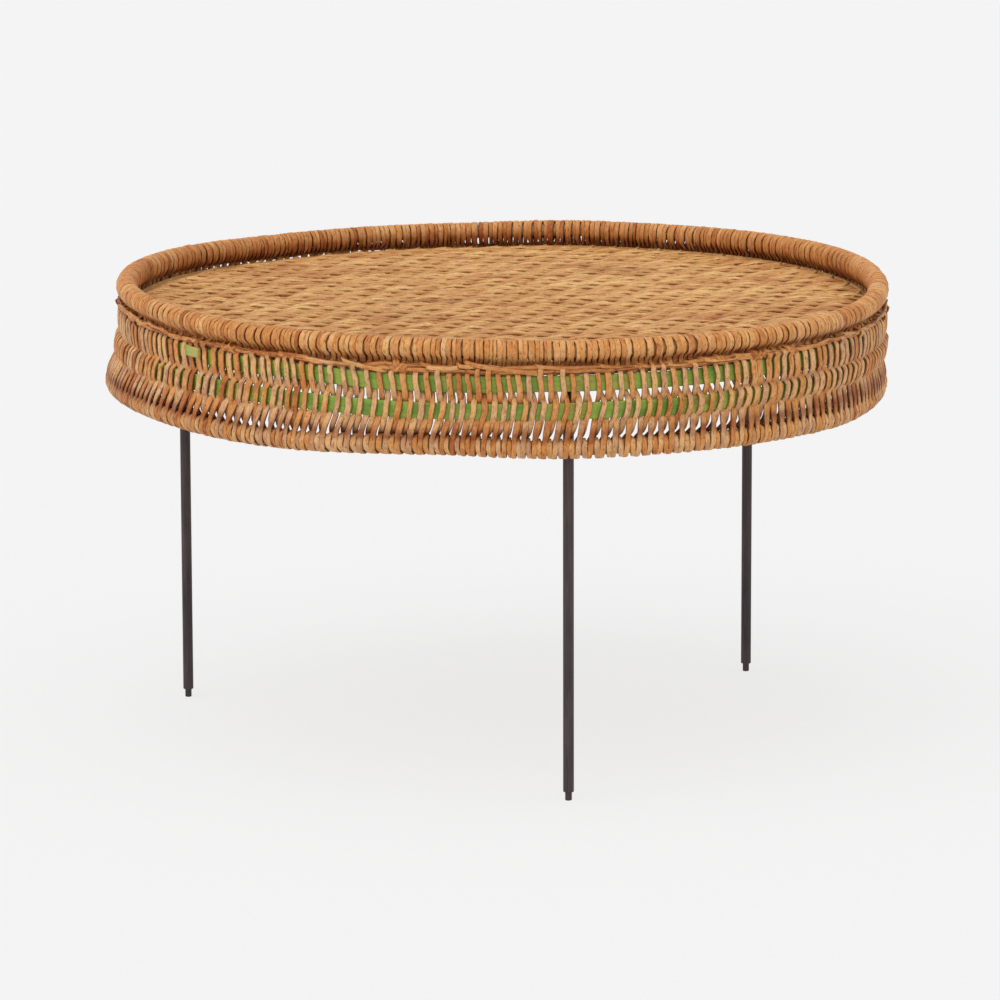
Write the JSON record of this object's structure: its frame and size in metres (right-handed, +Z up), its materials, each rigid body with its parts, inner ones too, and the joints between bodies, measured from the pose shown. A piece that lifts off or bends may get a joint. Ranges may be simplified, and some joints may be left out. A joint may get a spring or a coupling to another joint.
{
  "type": "tray table",
  "caption": "Round woven rattan tray table with a raised rim and an openwork apron, carried on three straight iron rod legs with pegged feet.",
  "frame": {"origin": "on the floor under the middle of the tray", "axes": "+Z up, -Y to the front, where the front leg stands a little to the right of the middle"},
  "size_m": [0.75, 0.75, 0.44],
  "materials": {
    "iron": "dark brown patina on drawn iron rod, satin, with faint scratches",
    "rattan": "peeled rattan strand, golden tan, semi-matt, with reddish stains",
    "dark_rattan": "peeled rattan strand, browner, semi-matt",
    "pole": "rattan pole, matt",
    "green_cane": "flat cane strip dyed leaf green, satin, uneven"
  },
  "bodies": {
    "root": {"leg_front": "iron", "leg_right": "iron", "leg_left": "iron", "frame_ring": "iron", "rim_core": "pole", "base_core": "pole", "floor_hoop": "pole", "floor_stake_01": "pole", "floor_stake_02": "pole", "floor_stake_03": "pole", "floor_stake_04": "pole", "floor_stake_05": "pole", "floor_stake_06": "pole", "floor_stake_07": "pole", "floor_stake_08": "pole", "floor_stake_09": "pole", "floor_stake_10": "pole", "floor_stake_11": "pole", "floor_stake_12": "pole", "floor_stake_13": "pole", "floor_stake_14": "pole", "floor_stake_15": "pole", "floor_stake_16": "pole", "floor_stake_17": "pole", "floor_stake_18": "pole", "floor_stake_19": "pole", "floor_stake_20": "pole", "floor_stake_21": "pole", "floor_stake_22": "pole", "floor_stake_23": "pole", "floor_stake_24": "pole", "floor_stake_25": "pole", "floor_stake_26": "pole", "floor_stake_27": "pole", "floor_stake_28": "pole", "floor_stake_29": "pole", "upper_band": "green_cane", "lower_band": "green_cane", "rim_strands_1": "rattan", "rim_strands_2": "rattan", "rim_strands_3": "rattan", "rim_strands_4": "rattan", "rim_strands_5": "rattan", "rim_strands_6": "rattan", "rim_strands_7": "rattan", "rim_strands_8": "rattan", "floor_weave": "rattan", "base_strands_1": "dark_rattan", "base_strands_2": "dark_rattan", "base_strands_3": "dark_rattan", "base_strands_4": "dark_rattan", "base_strands_5": "dark_rattan", "base_strands_6": "dark_rattan", "base_strands_7": "dark_rattan", "base_strands_8": "dark_rattan", "binder_row": "dark_rattan"}
  },
  "joints": []
}
